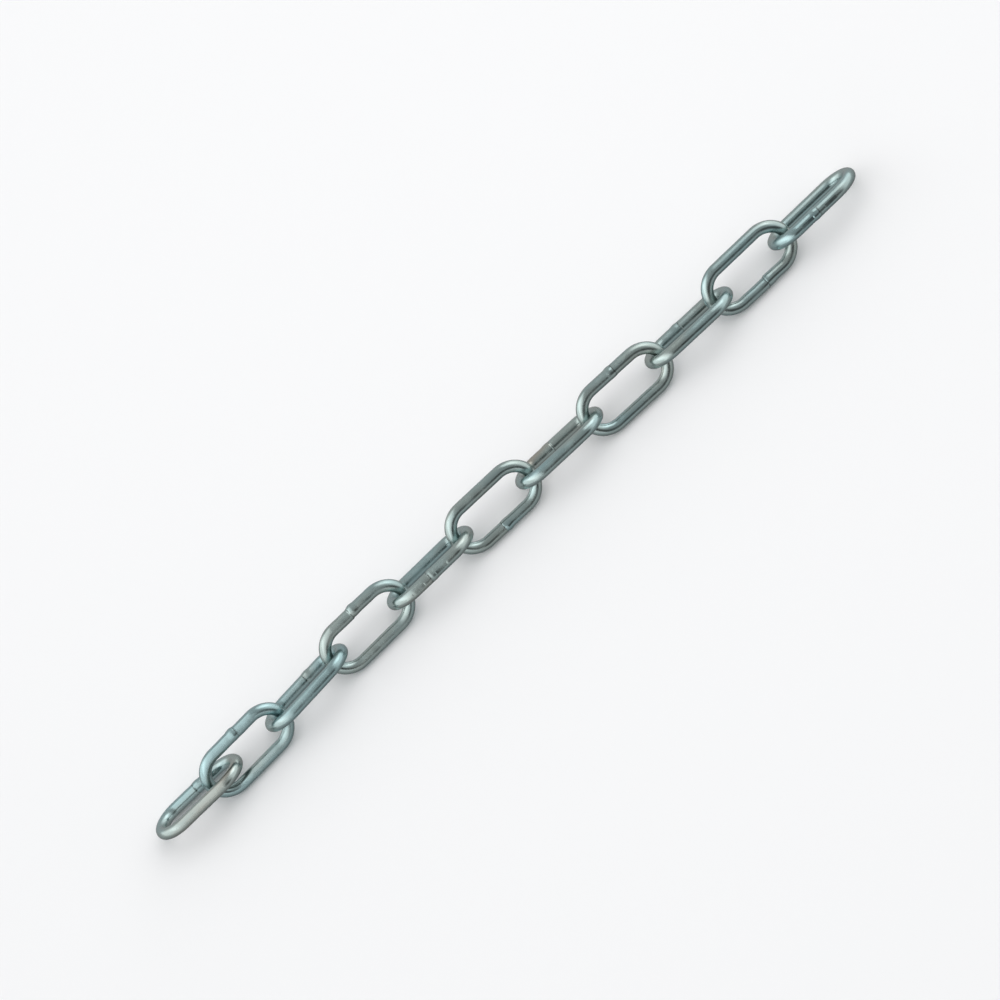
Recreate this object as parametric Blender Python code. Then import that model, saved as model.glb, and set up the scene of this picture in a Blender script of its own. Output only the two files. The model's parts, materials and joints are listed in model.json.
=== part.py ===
"""A short length of zinc-plated, long-link welded steel chain, laid out along +X on a floor.

Each link is one round wire, bent to a long oval and butt-welded in the middle of one strand.
Neighbouring links cross at right angles, crown in crown, and lie on the floor at 45 degrees,
each on its lower strand. Units are metres, +Z is up, and the origin is on the floor under the
middle of the chain.
"""

from collections import namedtuple
from math import cos, pi, radians, sin, sqrt

import bpy
from mathutils import Matrix, Vector

MM = 0.001

# Driving dimensions of a link
WIRE_DIAMETER = 6 * MM
INSIDE_LENGTH = 42 * MM  # the chain's pitch when it is pulled tight
INSIDE_WIDTH = 15.4 * MM
CROWN_REACH = 11.6 * MM  # how far the wire's centreline bulges past the straight strands

# The weld's flash: a low ring of upset metal around the seam, flat on top
FLASH_HEIGHT = 0.35 * MM
FLASH_FOOT_HALF = 1.6 * MM
FLASH_TOP_HALF = 0.7 * MM

# The faceted wire: its sides, and the steps of each crown
SECTION_SIDES = 16
CROWN_STEPS = 12
TOUCHING_GAP = 0.3 * MM  # left between two wires that touch

# How each link lies: its heading and its roll off the even lay, in degrees, the slack at the
# crossing before it and how far aside it hangs there, in millimetres, the strand that carries
# its weld, and how far past the strand's middle the weld is, in millimetres
Lie = namedtuple("Lie", "heading roll slack aside strand weld")
UPPER, LOWER = 1, -1
LAY = (
    Lie(0.5, 6.0, 0.0, 0.0, LOWER, 1.4),
    Lie(2.2, 9.0, 10.2, -0.8, UPPER, 2.5),
    Lie(4.3, 1.8, 1.2, 0.7, LOWER, 2.6),
    Lie(1.1, 3.0, 1.1, -1.0, UPPER, 0.0),
    Lie(0.6, 1.1, 1.0, -0.6, UPPER, -1.9),
    Lie(-0.6, 0.0, 0.3, 0.0, LOWER, -1.9),
    Lie(-0.6, 0.5, 0.0, -0.9, LOWER, -1.9),
    Lie(-1.2, 0.0, 0.0, -0.5, UPPER, 0.2),
    Lie(-0.7, 1.0, 0.0, 0.8, LOWER, -3.4),
    Lie(0.2, 0.0, 1.6, 1.2, LOWER, 1.3),
    Lie(0.2, 0.0, 1.2, 0.0, UPPER, -0.9),
)
EVEN_ROLL, ODD_ROLL = 45.0, 135.0  # of a link's own width above the floor, in degrees

# Worked out from the driving dimensions
SECTOR = 2 * pi / SECTION_SIDES
SECTION_RADIUS = WIRE_DIAMETER / 2 * sqrt(SECTOR / sin(SECTOR))  # same area as the round wire
SECTION_APOTHEM = SECTION_RADIUS * cos(SECTOR / 2)
HALF_WIDTH = (INSIDE_WIDTH + WIRE_DIAMETER) / 2  # of the wire's centreline
END_TO_CENTRE = (INSIDE_LENGTH + WIRE_DIAMETER) / 2  # of the wire's centreline
STRAND_HALF = END_TO_CENTRE - CROWN_REACH
CROSSING_DEPTH = 2 * SECTION_APOTHEM + TOUCHING_GAP  # between two touching wires' centrelines
FLASH_GROWTH = 1 + FLASH_HEIGHT / SECTION_RADIUS
FLASH_STEPS = (
    (FLASH_FOOT_HALF, 1.0),
    (FLASH_TOP_HALF, FLASH_GROWTH),
    (-FLASH_TOP_HALF, FLASH_GROWTH),
    (-FLASH_FOOT_HALF, 1.0),
)

# Bright zinc over drawn steel wire
ZINC_COLOUR = (0.31, 0.36, 0.36, 1.0)
ZINC_ROUGHNESS = 0.32


def clear_scene():
    """Remove every object, so that the script starts from nothing."""
    for old in list(bpy.data.objects):
        bpy.data.objects.remove(old)


def zinc_plate():
    """The plated wire's material."""
    material = bpy.data.materials.new("zinc_plate")
    material.use_nodes = True
    shader = material.node_tree.nodes["Principled BSDF"]
    shader.inputs["Base Color"].default_value = ZINC_COLOUR
    shader.inputs["Metallic"].default_value = 1.0
    shader.inputs["Roughness"].default_value = ZINC_ROUGHNESS
    return material


def link_outline(lie):
    """The wire's centreline in the link's own XY plane, as (x, y, swelling), anticlockwise.

    Each side +1 and -1 is a half-oval crown and then the strand that runs back from it.
    """
    outline = []
    for side in (1, -1):
        for step in range(CROWN_STEPS + 1):
            angle = pi * (step / CROWN_STEPS - 0.5)
            along = STRAND_HALF + CROWN_REACH * cos(angle)
            across = HALF_WIDTH * sin(angle)
            outline.append((side * along, side * across, 1.0))
        if side == lie.strand:
            for offset, swelling in FLASH_STEPS:
                outline.append((lie.weld * MM + side * offset, side * HALF_WIDTH, swelling))
    return outline


def link_wire(name, lie, material):
    """The closed wire of one link as a bevelled curve, centred on the link."""
    wire = bpy.data.curves.new(name, "CURVE")
    wire.dimensions = "3D"
    wire.twist_mode = "Z_UP"
    wire.bevel_depth = SECTION_RADIUS
    wire.bevel_resolution = (SECTION_SIDES - 4) // 2
    wire.materials.append(material)

    outline = link_outline(lie)
    spline = wire.splines.new("POLY")
    spline.use_cyclic_u = True
    spline.points.add(len(outline) - 1)
    for point, (x, y, swelling) in zip(spline.points, outline):
        point.co = (x, y, 0, 1)
        point.radius = swelling
        point.tilt = SECTOR / 2  # a flat side, and not an edge, faces into the link's opening
    spline.use_smooth = True
    return wire


def rest_height(roll, strand):
    """Height of a link's centre when its lower strand, or the weld on it, is on the floor."""
    reach = SECTION_RADIUS * cos(roll % SECTOR - SECTOR / 2)
    swelling = FLASH_GROWTH if strand == LOWER else 1.0
    return HALF_WIDTH * sin(roll) + reach * swelling


def place(obj, world, parent, collection):
    """Put an object at a world matrix, under a parent, in the collection."""
    collection.objects.link(obj)
    if parent:
        obj.parent = parent
        obj.matrix_basis = parent.matrix_world.inverted() @ world
    else:
        obj.matrix_basis = world
    bpy.context.view_layer.update()


def lay_chain(material, collection):
    """Lay the links end to end, each on an empty at the crossing that it swings about.

    Each empty hangs on the one before, and its X axis runs along its link, its Y axis across
    the link's opening. A link swings about the wire of the link before, in its own plane.
    """
    links = []
    pivot = None
    crossing = Vector((0, 0, 0))
    for number, lie in enumerate(LAY, start=1):
        roll = radians((ODD_ROLL if number % 2 else EVEN_ROLL) + lie.roll)
        turn = Matrix.Rotation(radians(lie.heading), 4, "Z") @ Matrix.Rotation(roll, 4, "X")
        along = turn.to_3x3().col[0]
        centre = crossing + along * (END_TO_CENTRE - CROSSING_DEPTH - lie.slack * MM)
        centre.y += lie.aside * MM
        centre.z = rest_height(roll, lie.strand)

        empty = bpy.data.objects.new(f"pivot_{number:02d}", None)
        place(empty, Matrix.Translation(crossing) @ turn, pivot, collection)
        name = f"link_{number:02d}"
        link = bpy.data.objects.new(name, link_wire(name, lie, material))
        place(link, Matrix.Translation(centre) @ turn, empty, collection)

        links.append(link)
        pivot = empty
        crossing = centre + along * END_TO_CENTRE
    return links


def centre_on_floor(links):
    """Shift the chain so that its bounding box is centred over the origin."""
    graph = bpy.context.evaluated_depsgraph_get()
    corners = []
    for link in links:
        shape = link.evaluated_get(graph)
        corners += [link.matrix_world @ vertex.co for vertex in shape.to_mesh().vertices]
        shape.to_mesh_clear()
    middle = [(min(c[k] for c in corners) + max(c[k] for c in corners)) / 2 for k in (0, 1)]
    first_pivot = links[0].parent
    first_pivot.location -= Vector((*middle, 0))
    bpy.context.view_layer.update()


def main():
    """Build the chain in its own collection."""
    clear_scene()
    collection = bpy.data.collections.new("steel_chain")
    bpy.context.scene.collection.children.link(collection)
    centre_on_floor(lay_chain(zinc_plate(), collection))


main()
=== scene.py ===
"""A short straight length of zinc-plated, long-link welded chain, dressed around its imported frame.

Each link is one closed ring of drawn steel wire. Geometry Nodes sweep the wire round the link's
outline, raise the flash of its butt weld and press the marks of the welding jaws into it. The
link then stands for its CAD node and rides on that node's body.
"""

from __future__ import annotations

import json
import logging
import math
from dataclasses import dataclass, field
from enum import Enum
from typing import Any

import bpy
import numpy as np
from mathutils import Matrix, Vector

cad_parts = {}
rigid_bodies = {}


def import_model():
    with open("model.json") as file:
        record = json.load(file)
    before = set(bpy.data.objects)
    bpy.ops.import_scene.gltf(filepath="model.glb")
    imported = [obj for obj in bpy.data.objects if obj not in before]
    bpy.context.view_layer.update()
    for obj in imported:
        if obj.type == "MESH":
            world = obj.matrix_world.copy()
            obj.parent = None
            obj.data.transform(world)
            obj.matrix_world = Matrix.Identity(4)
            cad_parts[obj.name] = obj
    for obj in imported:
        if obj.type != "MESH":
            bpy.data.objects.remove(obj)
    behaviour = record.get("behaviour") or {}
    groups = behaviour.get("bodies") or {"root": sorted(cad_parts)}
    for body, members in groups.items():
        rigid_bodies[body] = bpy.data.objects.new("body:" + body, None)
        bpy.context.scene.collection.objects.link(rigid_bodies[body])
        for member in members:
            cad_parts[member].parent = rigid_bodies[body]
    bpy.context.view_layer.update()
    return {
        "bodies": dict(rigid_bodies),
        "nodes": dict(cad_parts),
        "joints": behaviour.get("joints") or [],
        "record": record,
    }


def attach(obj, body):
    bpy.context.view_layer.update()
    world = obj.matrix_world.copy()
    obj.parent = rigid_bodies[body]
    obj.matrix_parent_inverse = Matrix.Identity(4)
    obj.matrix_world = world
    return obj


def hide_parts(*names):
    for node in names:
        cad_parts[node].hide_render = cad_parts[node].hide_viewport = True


MM = 0.001
PIECE_LOG = logging.getLogger("steel_chain")

# The kinds of node that the trees use most, and the setting of a Map Range that eases in and out
MATH = "ShaderNodeMath"
VECTOR_MATH = "ShaderNodeVectorMath"
MAP_RANGE = "ShaderNodeMapRange"
EASED = {"interpolation_type": "SMOOTHSTEP"}


def hex_colour(code: str) -> tuple[float, float, float, float]:
    """Turn an sRGB hex colour into linear RGBA.

    Args:
        code: The colour as six hex digits, with or without a leading #.

    Returns:
        Red, green and blue as linear values, and an alpha of 1.
    """
    digits = code.lstrip("#")
    shares = [int(digits[k : k + 2], 16) / 255 for k in (0, 2, 4)]
    linear = [s / 12.92 if s <= 0.04045 else ((s + 0.055) / 1.055) ** 2.4 for s in shares]
    return (*linear, 1.0)


def add_node(
    tree: bpy.types.NodeTree,
    kind: str,
    inputs: dict[str | int, Any] | None = None,
    **settings: Any,
) -> bpy.types.Node:
    """Add a node to a tree, with its settings, values and links.

    Args:
        tree: The node tree that gets the node.
        kind: Blender's name for the kind of node.
        inputs: Input name or number to a value, or to the output socket that feeds it.
        **settings: Properties of the node itself, such as operation.

    Returns:
        The new node.
    """
    node = tree.nodes.new(kind)
    for name, value in settings.items():
        setattr(node, name, value)
    for key, value in (inputs or {}).items():
        if isinstance(value, bpy.types.NodeSocket):
            tree.links.new(value, node.inputs[key])
        else:
            node.inputs[key].default_value = value
    return node


@dataclass(frozen=True)
class Ramp:
    """Where an effect starts and where it is whole, as values of what it follows."""

    start: float
    whole: float

    def follow(self, value: bpy.types.NodeSocket) -> dict[str | int, Any]:
        """The inputs of a Map Range node that follows the value."""
        return {"Value": value, "From Min": self.start, "From Max": self.whole}


class Strand(Enum):
    """Which of a link's two straight sides something is on, as the link lies at rest."""

    UPPER = 1
    LOWER = -1


@dataclass(frozen=True)
class WireSize:
    """The real sizes of the bent wire, in metres.

    The outline is worked out from the nominal bend_diameter. The wire itself is a little thicker
    than that, as it looks in the photograph.
    """

    diameter: float = 6.05 * MM
    inside_length: float = 42.0 * MM
    inside_width: float = 15.4 * MM
    bend_diameter: float = 6.0 * MM
    crown_reach: float = 11.6 * MM  # how far the wire's middle bulges past the straight strands

    @property
    def half_width(self) -> float:
        """Half the link's width, to the middle of the wire."""
        return (self.inside_width + self.bend_diameter) / 2

    @property
    def half_length(self) -> float:
        """Half the link's length, to the middle of the wire."""
        return (self.inside_length + self.bend_diameter) / 2

    @property
    def strand_half(self) -> float:
        """Half the length of a straight strand."""
        return self.half_length - self.crown_reach

    def outline(self, crown_steps: int = 360) -> np.ndarray:
        """The middle of the wire, anticlockwise from the foot of the +X crown and closed.

        Args:
            crown_steps: How many straight steps stand for each half-oval crown.

        Returns:
            One row for each point, with its distance along the link and across it.
        """
        angle = np.linspace(-math.pi / 2, math.pi / 2, crown_steps + 1)
        along = self.strand_half + self.crown_reach * np.cos(angle)
        half = np.column_stack((along, self.half_width * np.sin(angle)))
        return np.vstack((half, -half, half[:1]))


@dataclass(frozen=True)
class ButtWeld:
    """Where the two ends of a link's wire were butted together and welded.

    past_middle is how far the seam is past the strand's middle towards +X, and step is how far
    the wire on the seam's +X side stands outwards of the wire on its other side, both in mm.
    lean is 1 where the flash is wiped towards +X and -1 where it is wiped the other way, and
    heat is how much matt heat tint is left on that side, from 0 to 1.
    """

    strand: Strand
    past_middle: float
    step: float
    lean: int
    heat: float

    @property
    def path_sense(self) -> int:
        """1 where the path runs towards +X along the welded strand, and -1 where it runs back."""
        return -1 if self.strand is Strand.UPPER else 1


@dataclass(frozen=True)
class PassiveFilm:
    """How thick the passivation is on each strand, from 0, blue, to 1, straw-brown."""

    upper: float
    lower: float


@dataclass(frozen=True)
class LinkFrame:
    """A link's centre and its own axes: along it, across its opening, and square to both."""

    centre: Vector
    along: Vector
    across: Vector
    square: Vector

    @classmethod
    def of_node(cls, node: bpy.types.Object) -> LinkFrame:
        """Read the frame from the spread of a CAD link's surface.

        Args:
            node: The link's CAD node.

        Returns:
            The frame, with along towards +X and across upwards.
        """
        areas = np.array([face.area for face in node.data.polygons])
        middles = np.array([face.center for face in node.data.polygons])
        centre = areas @ middles / areas.sum()
        spread = middles - centre
        axes = np.linalg.eigh(spread.T @ (spread * areas[:, None]))[1]
        along = Vector(axes[:, 2]) * math.copysign(1, axes[0, 2])
        across = Vector(axes[:, 1]) * math.copysign(1, axes[2, 1])
        return cls(Vector(centre), along, across, along.cross(across))

    def matrix(self) -> Matrix:
        """The frame as a matrix from the link's own coordinates to the row's."""
        turn = Matrix((self.along, self.across, self.square)).transposed()
        return Matrix.Translation(self.centre) @ turn.to_4x4()


@dataclass(frozen=True)
class ZincPlate:
    """Bright zinc, electroplated on drawn steel wire and passivated blue.

    The plating is smooth enough to mirror the room softly. The drawing die leaves fine lines along
    the wire, barrel plating leaves cloudy patches, ripples and small pits, and the passivation
    tints the metal blue-green where it is thin and straw-brown where it is thick.
    """

    thin_film: str = "#90a7a9"
    zinc: str = "#98a3a0"
    thick_film: str = "#a19c93"
    dull: str = "#96948f"
    soot: str = "#454846"
    roughness: float = 0.17
    dull_roughness: float = 0.34

    # The patterns' sizes across the wire and along it, in metres
    die_lines: tuple[float, float] = (0.22 * MM, 14 * MM)  # real ones are finer and wouldn't show
    clouds: tuple[float, float] = (4.5 * MM, 7.2 * MM)
    film_patches: tuple[float, float] = (7.8 * MM, 26 * MM)
    pits: tuple[float, float] = (0.8 * MM, 0.8 * MM)
    ripples: tuple[float, float] = (1.3 * MM, 6.5 * MM)

    # The strength and the height of each pattern's relief
    die_line_relief: tuple[float, float] = (0.35, 0.02 * MM)
    ripple_relief: tuple[float, float] = (0.5, 0.018 * MM)
    cloud_relief: tuple[float, float] = (0.5, 0.1 * MM)

    # Where each tint shows: by the distance from the seam, or by the level of a pattern
    seam_line: Ramp = Ramp(0.4 * MM, 0.1 * MM)
    seam_gaps: Ramp = Ramp(0.56, 0.44)
    seam_darkness: float = 0.9
    thin_levels: Ramp = Ramp(0.95, 0.6)
    thick_levels: Ramp = Ramp(1.0, 1.3)
    cloud_levels: Ramp = Ramp(0.35, 0.7)
    pit_levels: Ramp = Ramp(0.28, 0.22)
    pit_darkness: float = 0.75
    scorch: float = 0.16  # how far full heat lowers the pits' level, so that more of them show

    def material(self) -> bpy.types.Material:
        """Build the material.

        Returns:
            A Principled metal that reads the wire's own attributes.
        """
        material = bpy.data.materials.new("zinc_plated_drawn_wire")
        material.use_nodes = True
        tree = material.node_tree
        tree.nodes.clear()
        wire = add_node(tree, "ShaderNodeAttribute", attribute_name="wire").outputs["Vector"]
        weld, rub, thickness, heat = (
            add_node(tree, "ShaderNodeAttribute", attribute_name=name).outputs["Fac"]
            for name in ("from_weld", "rub", "film", "heat")
        )
        lines = self._noise(tree, wire, self.die_lines, 3.0)
        clouds = self._noise(tree, wire, self.clouds, 4.0)
        film = self._noise(tree, wire, self.film_patches, 2.0)
        pits = self._noise(tree, wire, self.pits, 2.0)
        ripples = self._noise(tree, wire, self.ripples, 2.0)

        # The seam shows as a dark line, broken in places
        line = add_node(tree, MAP_RANGE, {
            **self.seam_line.follow(weld), "To Max": self.seam_darkness,
        }, **EASED).outputs["Result"]
        open_part = add_node(tree, MAP_RANGE, self.seam_gaps.follow(pits)).outputs["Result"]
        seam = add_node(tree, MATH, {0: line, 1: open_part}, operation="MULTIPLY").outputs[0]

        # The film's thickness, and the pits that the weld's heat scorches
        level = add_node(tree, MATH, {0: film, 1: thickness}, operation="ADD").outputs[0]
        thin = add_node(tree, MAP_RANGE, self.thin_levels.follow(level)).outputs["Result"]
        thick = add_node(tree, MAP_RANGE, self.thick_levels.follow(level)).outputs["Result"]
        scorched = add_node(tree, MATH, {
            0: heat, 1: -self.scorch, 2: pits,
        }, operation="MULTIPLY_ADD").outputs[0]
        pitted = add_node(tree, MAP_RANGE, {
            **self.pit_levels.follow(scorched), "To Max": self.pit_darkness,
        }).outputs["Result"]

        colour = hex_colour(self.zinc)
        for share, tint in (
            (thin, self.thin_film),
            (thick, self.thick_film),
            (heat, self.dull),
            (pitted, self.soot),
            (seam, self.soot),
        ):
            tinted = {0: share, 6: colour, 7: hex_colour(tint)}
            colour = add_node(tree, "ShaderNodeMix", tinted, data_type="RGBA").outputs[2]

        # Clouds, heat and rubbing make the plating less of a mirror
        cloudy = add_node(tree, MAP_RANGE, self.cloud_levels.follow(clouds)).outputs["Result"]
        dulling = add_node(tree, MATH, {0: cloudy, 1: heat}, operation="MAXIMUM").outputs[0]
        worn = add_node(tree, MATH, {0: dulling, 1: rub}, operation="MAXIMUM").outputs[0]
        roughness = add_node(tree, MAP_RANGE, {
            "Value": worn, "To Min": self.roughness, "To Max": self.dull_roughness,
        }).outputs["Result"]

        relief: dict[str | int, Any] = {}
        for height, (strength, distance) in (
            (lines, self.die_line_relief),
            (ripples, self.ripple_relief),
            (clouds, self.cloud_relief),
        ):
            relief.update({"Height": height, "Strength": strength, "Distance": distance})
            relief["Normal"] = add_node(tree, "ShaderNodeBump", relief).outputs["Normal"]

        shader = add_node(tree, "ShaderNodeBsdfPrincipled", {
            "Base Color": colour, "Metallic": 1.0, "Roughness": roughness,
            "Normal": relief["Normal"],
        })
        add_node(tree, "ShaderNodeOutputMaterial", {"Surface": shader.outputs["BSDF"]})
        return material

    @staticmethod
    def _noise(
        tree: bpy.types.NodeTree,
        wire: bpy.types.NodeSocket,
        pattern: tuple[float, float],
        detail: float,
    ) -> bpy.types.NodeSocket:
        """Noise in the wire's own coordinates.

        Args:
            tree: The material's tree.
            wire: The wire's own coordinates, with the run along it as the third.
            pattern: Size of the pattern round the wire and along it, in metres.
            detail: How many octaves the noise has.

        Returns:
            The noise, around 0.5.
        """
        across, along = pattern
        scale = (1 / across, 1 / across, 1 / along)
        placed = add_node(tree, "ShaderNodeMapping", {"Vector": wire, "Scale": scale})
        noise = add_node(tree, "ShaderNodeTexNoise", {
            "Vector": placed.outputs["Vector"], "Scale": 1.0, "Detail": detail,
        })
        return noise.outputs["Fac"]


@dataclass(frozen=True)
class WirePlace:
    """Sockets that say where a point of the wire's surface is."""

    centre: bpy.types.NodeSocket  # the middle of the wire beside the point
    outward: bpy.types.NodeSocket  # the way out of the link's opening, across the wire
    spoke: bpy.types.NodeSocket  # from the middle of the wire to the point
    reach: bpy.types.NodeSocket  # how far outward of the wire's middle the point is
    run: bpy.types.NodeSocket  # along the wire from the seam, all the way round
    past_seam: bpy.types.NodeSocket  # along the wire from the seam, negative on the way back
    leaning: bpy.types.NodeSocket  # the same, positive on the side that the flash leans to
    gap: bpy.types.NodeSocket  # along the wire from the seam, whichever way is shorter


@dataclass
class WireSweep:
    """The Geometry Nodes tree that turns a link's centreline into its welded wire.

    The ramps of the step, the jaws and the heat are distances along the wire from the seam.
    """

    size: WireSize = field(default_factory=WireSize)
    profile_sides: int = 40
    merge_distance: float = 0.001 * MM  # closes the tube where its two ends meet at the seam

    # The flash: a hump of upset metal beside the seam, wiped to one side
    flash_height: float = 0.42 * MM
    flash_peak: float = 2.0 * MM  # from the seam, on the side that the flash leans to
    flash_foot: float = 2.9 * MM  # from the peak
    inner_flash: float = 0.35  # share of its height on the side of the link's opening
    lump_scale: float = 420.0  # of its noise, for lumps about 2.4 mm apart
    lump_levels: Ramp = Ramp(0.35, 0.65)
    lump_least: float = 0.5  # share of its height between the lumps

    # The seam's groove, and the step between the two wire ends
    seam_groove: float = 0.05 * MM
    groove_side: Ramp = Ramp(0.4 * MM, 0.0)
    step_side: Ramp = Ramp(0.0, 0.6 * MM)
    step_run_out: Ramp = Ramp(13 * MM, 4 * MM)

    # The flats that the welding jaws pressed, and the wire's own waviness
    grip_depth: float = 0.14 * MM
    grip_near: Ramp = Ramp(3.4 * MM, 4.0 * MM)
    grip_far: Ramp = Ramp(11.5 * MM, 10.5 * MM)
    dent_depth: float = 0.06 * MM
    dent_scale: float = 130.0  # of their noise, for dents and swells about 8 mm apart

    # Where the weld's heat shows, and where the crowns rub on each other
    heat_side: Ramp = Ramp(-0.8 * MM, 0.2 * MM)
    heat_run_out: Ramp = Ramp(10 * MM, 3 * MM)
    rub_start: float = 0.5  # share of the crown's reach
    rub_inside: Ramp = Ramp(0.0, -2.4 * MM)  # outward of the wire's middle

    tree: bpy.types.NodeTree = field(init=False)

    def __post_init__(self) -> None:
        """Build the tree once, for every link to use."""
        self.tree = bpy.data.node_groups.new("welded_wire", "GeometryNodeTree")
        self._interface()
        self._nodes()

    def _interface(self) -> None:
        """Name the tree's inputs, with their usual values."""
        face = self.tree.interface
        face.new_socket("Geometry", in_out="OUTPUT", socket_type="NodeSocketGeometry")
        face.new_socket("Centreline", in_out="INPUT", socket_type="NodeSocketGeometry")
        for name, value in {
            "Wire Radius": self.size.diameter / 2,
            "Flash Height": self.flash_height,
            "Flash Peak": self.flash_peak,
            "Flash Foot": self.flash_foot,
            "Flash Lean": 1.0,
            "Heat": 0.5,
            "Seam Groove": self.seam_groove,
            "Seam Step": 0.0,
            "Grip Depth": self.grip_depth,
            "Dent Depth": self.dent_depth,
            "Crown Start": self.size.strand_half + self.rub_start * self.size.crown_reach,
            "Crown Tip": self.size.half_length,
            "Film Upper": 0.5,
            "Film Lower": 0.5,
            "Seed": 0.0,
        }.items():
            socket = face.new_socket(name, in_out="INPUT", socket_type="NodeSocketFloat")
            socket.default_value = value
        sides = face.new_socket("Profile Sides", in_out="INPUT", socket_type="NodeSocketInt")
        sides.default_value = self.profile_sides
        face.new_socket("Material", in_out="INPUT", socket_type="NodeSocketMaterial")

    def _nodes(self) -> None:
        """Lay out the tree: the sweep, the shape's offsets, the attributes and the finish."""
        tree = self.tree
        given = add_node(tree, "NodeGroupInput").outputs
        tube, place = self._sweep_wire(given)
        offset = add_node(tree, VECTOR_MATH, {
            0: self._swelling(given, place), 1: self._sideways(given, place),
        }, operation="ADD").outputs[0]
        made = add_node(tree, "GeometryNodeSetPosition", {
            "Geometry": tube, "Offset": offset,
        }).outputs["Geometry"]
        for name, kind, domain, value in (
            ("wire", "FLOAT_VECTOR", "CORNER", self._wire_coordinates(given, place)),
            ("from_weld", "FLOAT", "POINT", place.gap),
            ("heat", "FLOAT", "POINT", self._heat(given, place)),
            ("rub", "FLOAT", "POINT", self._rub(given, place)),
            ("film", "FLOAT", "POINT", self._film(given, place)),
        ):
            made = add_node(tree, "GeometryNodeStoreNamedAttribute", {
                "Geometry": made, "Name": name, "Value": value,
            }, data_type=kind, domain=domain).outputs["Geometry"]
        for kind, inputs in (
            ("GeometryNodeMergeByDistance", {"Distance": self.merge_distance}),
            ("GeometryNodeSetShadeSmooth", {}),
            ("GeometryNodeRealizeInstances", {}),
            ("GeometryNodeSetMaterial", {"Material": given["Material"]}),
        ):
            made = add_node(tree, kind, {"Geometry": made, **inputs}).outputs["Geometry"]
        add_node(tree, "NodeGroupOutput", {"Geometry": made})

    def _sweep_wire(
        self, given: bpy.types.NodeOutputs
    ) -> tuple[bpy.types.NodeSocket, WirePlace]:
        """Sweep the round wire along the centreline.

        Args:
            given: The tree's inputs.

        Returns:
            The wire's mesh, and where the points of its surface are.
        """
        tree = self.tree
        curve = add_node(tree, "GeometryNodeMeshToCurve", {"Mesh": given["Centreline"]})
        level = add_node(tree, "GeometryNodeSetCurveNormal", {
            "Curve": curve.outputs["Curve"],
        }, mode="Z_UP")
        run = add_node(tree, "GeometryNodeSplineParameter").outputs["Length"]
        whole = add_node(tree, "GeometryNodeSplineLength").outputs["Length"]
        back = add_node(tree, MATH, {0: run, 1: whole}, operation="SUBTRACT").outputs[0]
        half = add_node(tree, MATH, {0: whole, 1: 0.5}, operation="MULTIPLY").outputs[0]
        far = add_node(tree, MATH, {0: run, 1: half}, operation="GREATER_THAN").outputs[0]
        past = add_node(tree, "ShaderNodeMix", {
            0: far, 2: run, 3: back,
        }, data_type="FLOAT").outputs[0]
        tangent = add_node(tree, "GeometryNodeInputTangent").outputs[0]
        across = add_node(tree, VECTOR_MATH, {
            0: tangent, 1: (0, 0, 1),
        }, operation="CROSS_PRODUCT").outputs[0]
        outward = add_node(tree, VECTOR_MATH, {0: across}, operation="NORMALIZE").outputs[0]

        # What each point of the centreline hands on to the surface around it
        known = add_node(tree, "GeometryNodeCaptureAttribute", {
            "Geometry": level.outputs["Curve"],
        })
        for name, kind, value in (
            ("Centre", "VECTOR", add_node(tree, "GeometryNodeInputPosition").outputs[0]),
            ("Outward", "VECTOR", outward),
            ("Run", "FLOAT", run),
            ("Past Seam", "FLOAT", past),
        ):
            known.capture_items.new(kind, name)
            tree.links.new(value, known.inputs[name])
        centre, outward, run, past = (
            known.outputs[name] for name in ("Centre", "Outward", "Run", "Past Seam")
        )

        profile = add_node(tree, "GeometryNodeCurvePrimitiveCircle", {
            "Resolution": given["Profile Sides"], "Radius": given["Wire Radius"],
        })
        tube = add_node(tree, "GeometryNodeCurveToMesh", {
            "Curve": known.outputs["Geometry"], "Profile Curve": profile.outputs["Curve"],
        })
        here = add_node(tree, "GeometryNodeInputPosition").outputs[0]
        spoke = add_node(tree, VECTOR_MATH, {
            0: here, 1: centre,
        }, operation="SUBTRACT").outputs[0]
        reach = add_node(tree, VECTOR_MATH, {
            0: spoke, 1: outward,
        }, operation="DOT_PRODUCT").outputs["Value"]
        leaning = add_node(tree, MATH, {
            0: past, 1: given["Flash Lean"],
        }, operation="MULTIPLY").outputs[0]
        gap = add_node(tree, MATH, {0: past}, operation="ABSOLUTE").outputs[0]
        place = WirePlace(centre, outward, spoke, reach, run, past, leaning, gap)
        return tube.outputs["Mesh"], place

    def _swelling(
        self, given: bpy.types.NodeOutputs, place: WirePlace
    ) -> bpy.types.NodeSocket:
        """The flash, the seam's groove and the dents, all square to the wire's surface.

        Args:
            given: The tree's inputs.
            place: Where the points of the surface are.

        Returns:
            How far each point moves, as a vector.
        """
        tree = self.tree
        lumps = add_node(tree, "ShaderNodeTexNoise", {
            "Vector": place.spoke, "W": given["Seed"], "Scale": self.lump_scale, "Detail": 2.0,
        }, noise_dimensions="4D").outputs["Fac"]
        uneven = add_node(tree, MAP_RANGE, {
            **self.lump_levels.follow(lumps), "To Min": self.lump_least,
        }).outputs["Result"]

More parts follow.
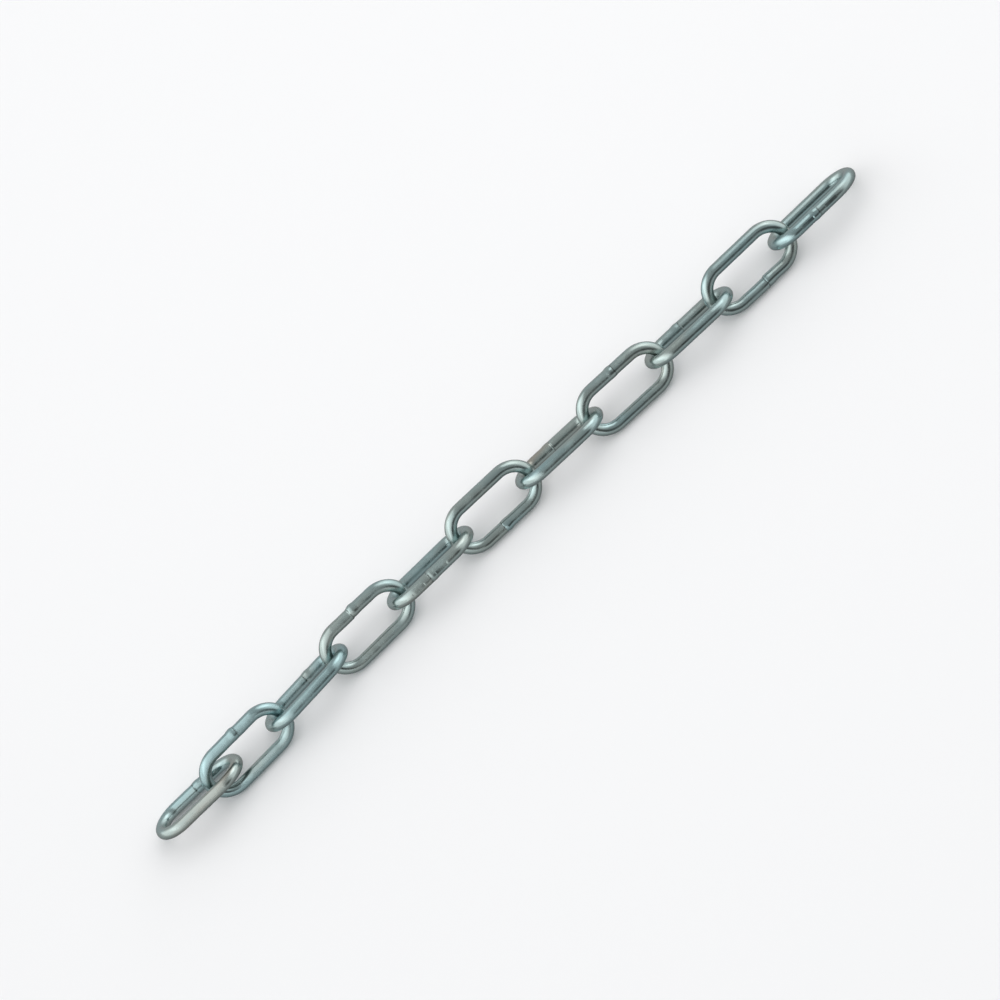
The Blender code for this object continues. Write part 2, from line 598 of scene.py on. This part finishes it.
        past_peak = add_node(tree, MATH, {
            0: place.leaning, 1: given["Flash Peak"],
        }, operation="SUBTRACT").outputs[0]
        from_peak = add_node(tree, MATH, {0: past_peak}, operation="ABSOLUTE").outputs[0]
        hump = add_node(tree, MAP_RANGE, {
            "Value": from_peak, "From Min": given["Flash Foot"], "From Max": 0.0,
            "To Max": given["Flash Height"],
        }, **EASED).outputs["Result"]
        round_wire = Ramp(-self.size.diameter / 2, self.size.diameter / 2)
        outer = add_node(tree, MAP_RANGE, {
            **round_wire.follow(place.reach), "To Min": self.inner_flash,
        }).outputs["Result"]
        wiped = add_node(tree, MATH, {0: hump, 1: outer}, operation="MULTIPLY").outputs[0]
        flash = add_node(tree, MATH, {0: wiped, 1: uneven}, operation="MULTIPLY").outputs[0]

        groove = add_node(tree, MAP_RANGE, {
            **self.groove_side.follow(place.gap), "To Max": given["Seam Groove"],
        }, **EASED).outputs["Result"]
        broken = add_node(tree, MATH, {0: groove, 1: uneven}, operation="MULTIPLY").outputs[0]
        raised = add_node(tree, MATH, {0: flash, 1: broken}, operation="SUBTRACT").outputs[0]

        # The dents' noise runs from 0 to 1, and is doubled and lowered to go both ways
        here = add_node(tree, "GeometryNodeInputPosition").outputs[0]
        dents = add_node(tree, "ShaderNodeTexNoise", {
            "Vector": here, "W": given["Seed"], "Scale": self.dent_scale, "Detail": 1.5,
        }, noise_dimensions="4D").outputs["Fac"]
        both_ways = add_node(tree, MATH, {
            0: dents, 1: 2.0, 2: -1.0,
        }, operation="MULTIPLY_ADD").outputs[0]
        swell = add_node(tree, MATH, {
            0: both_ways, 1: given["Dent Depth"], 2: raised,
        }, operation="MULTIPLY_ADD").outputs[0]
        radial = add_node(tree, VECTOR_MATH, {0: place.spoke}, operation="NORMALIZE").outputs[0]
        return add_node(tree, VECTOR_MATH, {
            0: radial, "Scale": swell,
        }, operation="SCALE").outputs[0]

    def _sideways(
        self, given: bpy.types.NodeOutputs, place: WirePlace
    ) -> bpy.types.NodeSocket:
        """The step between the two wire ends, and the flats that the jaws pressed.

        The step runs out along the strand. The flats are on the strand's outer side, one on each
        side of the seam.

        Args:
            given: The tree's inputs.
            place: Where the points of the surface are.

        Returns:
            How far each point moves in the link's plane, as a vector.
        """
        tree = self.tree
        side = add_node(tree, MATH, {0: place.past_seam}, operation="SIGN").outputs[0]
        rise = add_node(tree, MAP_RANGE, {
            **self.step_side.follow(place.gap), "To Max": 0.5,
        }, **EASED).outputs["Result"]
        run_out = add_node(tree, MAP_RANGE, self.step_run_out.follow(place.gap), **EASED)
        fade = run_out.outputs["Result"]
        signed = add_node(tree, MATH, {
            0: side, 1: given["Seam Step"],
        }, operation="MULTIPLY").outputs[0]
        stepped = add_node(tree, MATH, {0: rise, 1: fade}, operation="MULTIPLY").outputs[0]
        shift = add_node(tree, MATH, {0: signed, 1: stepped}, operation="MULTIPLY").outputs[0]

        near, far = (
            add_node(tree, MAP_RANGE, ramp.follow(place.gap), **EASED).outputs["Result"]
            for ramp in (self.grip_near, self.grip_far)
        )
        gripped = add_node(tree, MATH, {0: near, 1: far}, operation="MULTIPLY").outputs[0]
        limit = add_node(tree, MATH, {
            0: given["Wire Radius"], 1: given["Grip Depth"],
        }, operation="SUBTRACT").outputs[0]
        over = add_node(tree, MATH, {0: place.reach, 1: limit}, operation="SUBTRACT").outputs[0]
        pressed = add_node(tree, MATH, {0: over, 1: 0.0}, operation="MAXIMUM").outputs[0]
        flat = add_node(tree, MATH, {0: pressed, 1: gripped}, operation="MULTIPLY").outputs[0]
        moved = add_node(tree, MATH, {0: shift, 1: flat}, operation="SUBTRACT").outputs[0]
        return add_node(tree, VECTOR_MATH, {
            0: place.outward, "Scale": moved,
        }, operation="SCALE").outputs[0]

    def _wire_coordinates(
        self, given: bpy.types.NodeOutputs, place: WirePlace
    ) -> bpy.types.NodeSocket:
        """The finish's own coordinates, which the seed sets apart from the other links'.

        Args:
            given: The tree's inputs.
            place: Where the points of the surface are.

        Returns:
            The point's place across the wire, in two directions, and along it.
        """
        tree = self.tree
        height = add_node(tree, "ShaderNodeSeparateXYZ", {0: place.spoke}).outputs["Z"]
        along = add_node(tree, MATH, {
            0: place.run, 1: given["Seed"],
        }, operation="ADD").outputs[0]
        wire = add_node(tree, "ShaderNodeCombineXYZ", {0: place.reach, 1: height, 2: along})
        return wire.outputs[0]

    def _heat(
        self, given: bpy.types.NodeOutputs, place: WirePlace
    ) -> bpy.types.NodeSocket:
        """How much matt heat tint there is, on the side that the flash leans to.

        Args:
            given: The tree's inputs.
            place: Where the points of the surface are.

        Returns:
            The tint's strength, from 0 to 1.
        """
        tree = self.tree
        warmed = add_node(tree, MAP_RANGE, {
            **self.heat_run_out.follow(place.leaning), "To Max": given["Heat"],
        }, **EASED).outputs["Result"]
        edge = add_node(tree, MAP_RANGE, self.heat_side.follow(place.leaning), **EASED)
        return add_node(tree, MATH, {
            0: warmed, 1: edge.outputs["Result"],
        }, operation="MULTIPLY").outputs[0]

    def _rub(
        self, given: bpy.types.NodeOutputs, place: WirePlace
    ) -> bpy.types.NodeSocket:
        """How much the inside of the crown is rubbed by the next link.

        Args:
            given: The tree's inputs.
            place: Where the points of the surface are.

        Returns:
            The rubbing, from 0 to 1.
        """
        tree = self.tree
        along = add_node(tree, "ShaderNodeSeparateXYZ", {0: place.centre}).outputs["X"]
        from_middle = add_node(tree, MATH, {0: along}, operation="ABSOLUTE").outputs[0]
        tip = add_node(tree, MAP_RANGE, {
            "Value": from_middle, "From Min": given["Crown Start"],
            "From Max": given["Crown Tip"],
        }, **EASED).outputs["Result"]
        inner = add_node(tree, MAP_RANGE, self.rub_inside.follow(place.reach), **EASED)
        return add_node(tree, MATH, {
            0: tip, 1: inner.outputs["Result"],
        }, operation="MULTIPLY").outputs[0]

    def _film(
        self, given: bpy.types.NodeOutputs, place: WirePlace
    ) -> bpy.types.NodeSocket:
        """How thick the passive film is, from the lower strand's to the upper strand's.

        Args:
            given: The tree's inputs.
            place: Where the points of the surface are.

        Returns:
            The film's thickness, from 0 to 1.
        """
        across = add_node(self.tree, "ShaderNodeSeparateXYZ", {0: place.centre}).outputs["Y"]
        opening = Ramp(-self.size.half_width, self.size.half_width)
        return add_node(self.tree, MAP_RANGE, {
            **opening.follow(across), "To Min": given["Film Lower"], "To Max": given["Film Upper"],
        }, **EASED).outputs["Result"]

    def identifier(self, name: str) -> str:
        """The identifier of the tree's input of that name."""
        return next(
            item.identifier
            for item in self.tree.interface.items_tree
            if item.name == name and item.in_out == "INPUT"
        )


@dataclass
class ChainLink:
    """One link: a ring of wire, bent to a long oval and butt-welded on one strand."""

    number: int
    weld: ButtWeld
    film: PassiveFilm
    sweep: WireSweep
    path_steps: int = 340
    denser: float = 0.6  # share by which the path's points close up at the seam

    @property
    def node(self) -> str:
        """The name of the CAD node, and of the body, that the link stands for."""
        return f"link_{self.number:02d}"

    def centreline(self) -> list[tuple[float, float, float]]:
        """Points round the link in its own plane, from the seam back to the seam.

        Returns:
            The points, with the last one on the first.
        """
        outline = self.sweep.size.outline()
        runs = np.concatenate(([0.0], np.cumsum(np.hypot(*np.diff(outline, axis=0).T))))
        whole = runs[-1]
        offset = self.weld.past_middle * MM
        start = whole / 2 - self.sweep.size.strand_half - offset
        if self.weld.strand is Strand.LOWER:
            start = whole - self.sweep.size.strand_half + offset
        share = np.linspace(0.0, 1.0, self.path_steps + 1)
        eased = share - self.denser * np.sin(2 * math.pi * share) / (2 * math.pi)
        places = (start + whole * eased) % whole
        along = np.interp(places, runs, outline[:, 0])
        across = np.interp(places, runs, outline[:, 1])
        return [(x, y, 0.0) for x, y in zip(along.tolist(), across.tolist())]

    def build(self, frame: LinkFrame, finish: bpy.types.Material) -> bpy.types.Object:
        """Sweep the wire and put it where the CAD link lies.

        Args:
            frame: The CAD link's own axes.
            finish: The wire's material.

        Returns:
            The link as a plain mesh object at the origin.
        """
        points = self.centreline()
        edges = [(k, k + 1) for k in range(len(points) - 1)]
        path = bpy.data.meshes.new(f"{self.node}_centreline")
        path.from_pydata(points, edges, [])
        guide = bpy.data.objects.new(f"{self.node}_guide", path)
        bpy.context.scene.collection.objects.link(guide)
        modifier = guide.modifiers.new("welded_wire", "NODES")
        modifier.node_group = self.sweep.tree
        for name, value in {
            "Seam Step": self.weld.step * MM * self.weld.path_sense,
            "Flash Lean": float(self.weld.lean * self.weld.path_sense),
            "Heat": self.weld.heat,
            "Film Upper": self.film.upper,
            "Film Lower": self.film.lower,
            "Seed": float(self.number),
            "Material": finish,
        }.items():
            modifier[self.sweep.identifier(name)] = value

        graph = bpy.context.evaluated_depsgraph_get()
        mesh = bpy.data.meshes.new_from_object(guide.evaluated_get(graph), depsgraph=graph)
        mesh.name = f"{self.node}_wire"
        guide.modifiers.remove(modifier)
        bpy.data.objects.remove(guide)
        bpy.data.meshes.remove(path)
        mesh.transform(frame.matrix())
        self._rest_on_floor(mesh)
        piece = bpy.data.objects.new(f"{self.node}_wire", mesh)
        bpy.context.scene.collection.objects.link(piece)
        return piece

    @staticmethod
    def _rest_on_floor(mesh: bpy.types.Mesh) -> None:
        """Flatten the flash and the swells where they would reach below the floor.

        Args:
            mesh: The wire's mesh, in its place.
        """
        places = np.empty(len(mesh.vertices) * 3)
        mesh.vertices.foreach_get("co", places)
        places[2::3] = np.maximum(places[2::3], 0.0)
        mesh.vertices.foreach_set("co", places)
        mesh.update()

    def dress(self, piece: bpy.types.Object) -> None:
        """Let the piece stand for its CAD link, and ride on it.

        Args:
            piece: The link's mesh object.
        """
        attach(piece, self.node)
        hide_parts(self.node)


@dataclass
class SteelChain:
    """The whole length of chain, link by link from the left of the view."""

    welds: tuple[ButtWeld, ...] = (
        ButtWeld(Strand.LOWER, 0.4, 0.2, 1, 0.4),
        ButtWeld(Strand.UPPER, 2.8, -0.15, -1, 0.05),
        ButtWeld(Strand.LOWER, 2.4, 0.1, 1, 0.3),
        ButtWeld(Strand.UPPER, -1.2, 0.35, 1, 0.7),
        ButtWeld(Strand.UPPER, -3.2, -0.3, 1, 1.0),
        ButtWeld(Strand.LOWER, -2.6, -0.1, 1, 0.1),
        ButtWeld(Strand.LOWER, -1.9, 0.3, -1, 0.4),
        ButtWeld(Strand.UPPER, 1.9, 0.1, -1, 0.8),
        ButtWeld(Strand.LOWER, -2.2, -0.15, -1, 0.1),
        ButtWeld(Strand.LOWER, 1.6, -0.4, 1, 0.1),
        ButtWeld(Strand.UPPER, 0.6, 0.2, -1, 0.3),
    )
    films: tuple[PassiveFilm, ...] = (
        PassiveFilm(0.6, 0.1),
        PassiveFilm(0.0, 0.2),
        PassiveFilm(0.1, 0.2),
        PassiveFilm(0.35, 0.3),
        PassiveFilm(0.4, 0.15),
        PassiveFilm(0.4, 0.35),
        PassiveFilm(0.3, 0.5),
        PassiveFilm(0.4, 0.35),
        PassiveFilm(0.3, 0.35),
        PassiveFilm(0.25, 0.3),
        PassiveFilm(0.25, 0.3),
    )

    def build(self, nodes: dict[str, bpy.types.Object]) -> None:
        """Build and dress every link.

        Args:
            nodes: The CAD nodes by name.
        """
        sweep = WireSweep()
        finish = ZincPlate().material()
        for number, (weld, film) in enumerate(zip(self.welds, self.films), start=1):
            link = ChainLink(number, weld, film, sweep)
            piece = link.build(LinkFrame.of_node(nodes[link.node]), finish)
            link.dress(piece)
            PIECE_LOG.info("%s: %d faces", piece.name, len(piece.data.polygons))


@dataclass(frozen=True)
class PhotoView:
    """The photograph's frame, and where the sixth link's middle is in it."""

    image_size: int = 1000
    link_node: str = "link_06"
    link_x: float = 493.36
    link_y: float = 507.08
    pixel: float = 0.4723 * MM
    elevation: float = 60.0  # of the camera above the floor, in degrees
    climb: float = 43.5  # how steeply the chain rises to the right, in degrees
    distance: float = 2.0  # far enough off to keep the perspective slight
    sensor: float = 36.0
    clip: tuple[float, float] = (0.05, 50.0)

    def add_camera(self, nodes: dict[str, bpy.types.Object]) -> None:
        """Set a camera square to the chain, at the photograph's height, size and tilt.

        Args:
            nodes: The CAD nodes by name.
        """
        tilt = math.radians(self.elevation)
        roll = math.radians(self.climb)
        back = Vector((0, -math.cos(tilt), math.sin(tilt)))
        level_up = Vector((0, math.sin(tilt), math.cos(tilt)))
        level_right = Vector((1, 0, 0))
        right = level_right * math.cos(roll) - level_up * math.sin(roll)
        up = level_right * math.sin(roll) + level_up * math.cos(roll)
        middle = self.image_size / 2
        link = LinkFrame.of_node(nodes[self.link_node]).centre
        target = link + (right * (middle - self.link_x) - up * (middle - self.link_y)) * self.pixel

        lens = bpy.data.cameras.new("photo_camera")
        lens.sensor_width = self.sensor
        lens.lens = self.sensor * self.distance / (self.image_size * self.pixel)
        lens.clip_start, lens.clip_end = self.clip
        camera = bpy.data.objects.new("photo_camera", lens)
        place = Matrix((right, up, back)).transposed().to_4x4()
        camera.matrix_world = Matrix.Translation(target + back * self.distance) @ place
        bpy.context.scene.collection.objects.link(camera)
        bpy.context.scene.camera = camera


@dataclass(frozen=True)
class Softbox:
    """A rectangular lamp, in metres and watts, that faces its aim.

    A mirrored one shows in the metal and leaves the floor's light alone. Any other lights the
    floor and doesn't show in the metal.
    """

    name: str
    place: tuple[float, float, float]
    aim: tuple[float, float, float]
    size: tuple[float, float]
    power: float
    mirrored: bool

    def hang(self) -> None:
        """Add the lamp to the scene."""
        light = bpy.data.lights.new(self.name, "AREA")
        light.shape = "RECTANGLE"
        light.size, light.size_y = self.size
        light.energy = self.power
        lamp = bpy.data.objects.new(self.name, light)
        lamp.location = self.place
        facing = Vector(self.aim) - Vector(self.place)
        lamp.rotation_euler = facing.to_track_quat("-Z", "Y").to_euler()
        lamp.visible_glossy = self.mirrored
        lamp.visible_diffuse = not self.mirrored
        bpy.context.scene.collection.objects.link(lamp)


@dataclass
class Studio:
    """A pale floor in a soft, even room, darker behind the camera and lighter at the sides.

    The room's ramps follow the direction that the metal mirrors: its slope, which is its height
    over its distance ahead, or one of its parts along the axes.
    """

    floor_half: float = 3.0
    floor_colour: str = "#eeedee"
    floor_roughness: float = 0.9
    floor_specular: float = 0.1
    lamps: tuple[Softbox, ...] = (
        Softbox("overhead", (0.25, 0.35, 1.6), (0, 0, 0), (1.4, 1.4), 7.0, mirrored=False),
        Softbox("left", (-0.57, -0.15, 0.65), (-0.57, -0.15, 0), (0.8, 1.9), 4.8, mirrored=True),
        Softbox("left_front", (-0.55, -0.95, 0.36), (-0.55, 0, 0.3), (0.8, 0.6), 1.3, mirrored=True),
        Softbox("right", (0.56, 0.35, 0.65), (0.56, 0.35, 0), (0.72, 0.7), 1.7, mirrored=True),
    )

    room_colour: str = "#fbfdfd"
    sky: float = 0.62
    side_glow: float = 1.1  # what the sky gains at the sides
    side_ramp: Ramp = Ramp(0.3, 0.75)
    rear_ramp: Ramp = Ramp(-0.5, 0.9)
    rear_shares: tuple[float, float] = (0.8, 1.2)  # of the sky, at the front and at the rear
    wall: float = 0.11  # the dark wall behind the camera, which the strands mirror as a line
    wall_top: Ramp = Ramp(1.15, 0.75)
    wall_foot: Ramp = Ramp(0.05, 0.25)
    wall_side: Ramp = Ramp(0.7, 0.35)
    ground: float = 0.6  # what the metal mirrors from below
    ground_ramp: Ramp = Ramp(-0.9, -0.05)
    ground_shares: tuple[float, float] = (0.5, 1.3)  # of the ground, straight below and far off
    horizon: Ramp = Ramp(-0.06, 0.02)

    def build(self) -> None:
        """Make the floor, the lamps and the room."""
        bpy.context.scene.view_settings.view_transform = "Standard"
        self._floor()
        for lamp in self.lamps:
            lamp.hang()
        self._room()

    def _floor(self) -> None:
        """A wide matt floor, which the metal doesn't mirror."""
        half = self.floor_half
        corners = [(-half, -half, 0.0), (half, -half, 0.0), (half, half, 0.0), (-half, half, 0.0)]
        mesh = bpy.data.meshes.new("floor")
        mesh.from_pydata(corners, [], [(0, 1, 2, 3)])
        material = bpy.data.materials.new("matt_floor")
        material.use_nodes = True
        shader = material.node_tree.nodes["Principled BSDF"]
        shader.inputs["Base Color"].default_value = hex_colour(self.floor_colour)
        shader.inputs["Roughness"].default_value = self.floor_roughness
        shader.inputs["Specular IOR Level"].default_value = self.floor_specular
        mesh.materials.append(material)
        floor = bpy.data.objects.new("floor", mesh)
        floor.visible_glossy = False
        bpy.context.scene.collection.objects.link(floor)

    def _room(self) -> None:
        """Light from all round: an even sky, a dark wall behind the camera, glowing sides."""
        world = bpy.data.worlds.new("room")
        world.use_nodes = True
        tree = world.node_tree
        tree.nodes.clear()
        facing = add_node(tree, "ShaderNodeTexCoord").outputs["Generated"]
        right, rearward, height = add_node(tree, "ShaderNodeSeparateXYZ", {0: facing}).outputs
        sideways = add_node(tree, MATH, {0: right}, operation="ABSOLUTE").outputs[0]

        # The wall, between its foot and its top and only so far to the sides
        ahead = add_node(tree, MATH, {0: rearward, 1: -1.0}, operation="MULTIPLY").outputs[0]
        slope = add_node(tree, MATH, {0: height, 1: ahead}, operation="DIVIDE").outputs[0]
        below_top, above_foot, within = (
            add_node(tree, MAP_RANGE, ramp.follow(value), **EASED).outputs["Result"]
            for ramp, value in (
                (self.wall_top, slope),
                (self.wall_foot, slope),
                (self.wall_side, sideways),
            )
        )
        band = add_node(tree, MATH, {0: below_top, 1: above_foot}, operation="MULTIPLY").outputs[0]
        wall = add_node(tree, MATH, {0: band, 1: within}, operation="MULTIPLY").outputs[0]

        # The sky, with the wall in it
        glow = add_node(tree, MAP_RANGE, {
            **self.side_ramp.follow(sideways),
            "To Min": self.sky, "To Max": self.sky + self.side_glow,
        }, **EASED).outputs["Result"]
        rear = add_node(tree, MAP_RANGE, {
            **self.rear_ramp.follow(rearward),
            "To Min": self.rear_shares[0], "To Max": self.rear_shares[1],
        }).outputs["Result"]
        even = add_node(tree, MATH, {0: glow, 1: rear}, operation="MULTIPLY").outputs[0]
        above = add_node(tree, "ShaderNodeMix", {
            0: wall, 2: even, 3: self.wall,
        }, data_type="FLOAT").outputs[0]

        # The ground, which joins the sky at the horizon
        below = add_node(tree, MAP_RANGE, {
            **self.ground_ramp.follow(height),
            "To Min": self.ground * self.ground_shares[0],
            "To Max": self.ground * self.ground_shares[1],
        }).outputs["Result"]
        horizon = add_node(tree, MAP_RANGE, self.horizon.follow(height)).outputs["Result"]
        level = add_node(tree, "ShaderNodeMix", {
            0: horizon, 2: below, 3: above,
        }, data_type="FLOAT").outputs[0]
        shader = add_node(tree, "ShaderNodeBackground", {
            "Color": hex_colour(self.room_colour), "Strength": level,
        })
        add_node(tree, "ShaderNodeOutputWorld", {"Surface": shader.outputs["Background"]})
        bpy.context.scene.world = world


def main() -> None:
    """Load the frame, set the camera, dress the chain and light it."""
    logging.basicConfig(level=logging.INFO, format="%(name)s: %(message)s")
    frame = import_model()
    nodes = frame["nodes"]
    PhotoView().add_camera(nodes)
    SteelChain().build(nodes)
    Studio().build()


if __name__ == "__main__":
    main()
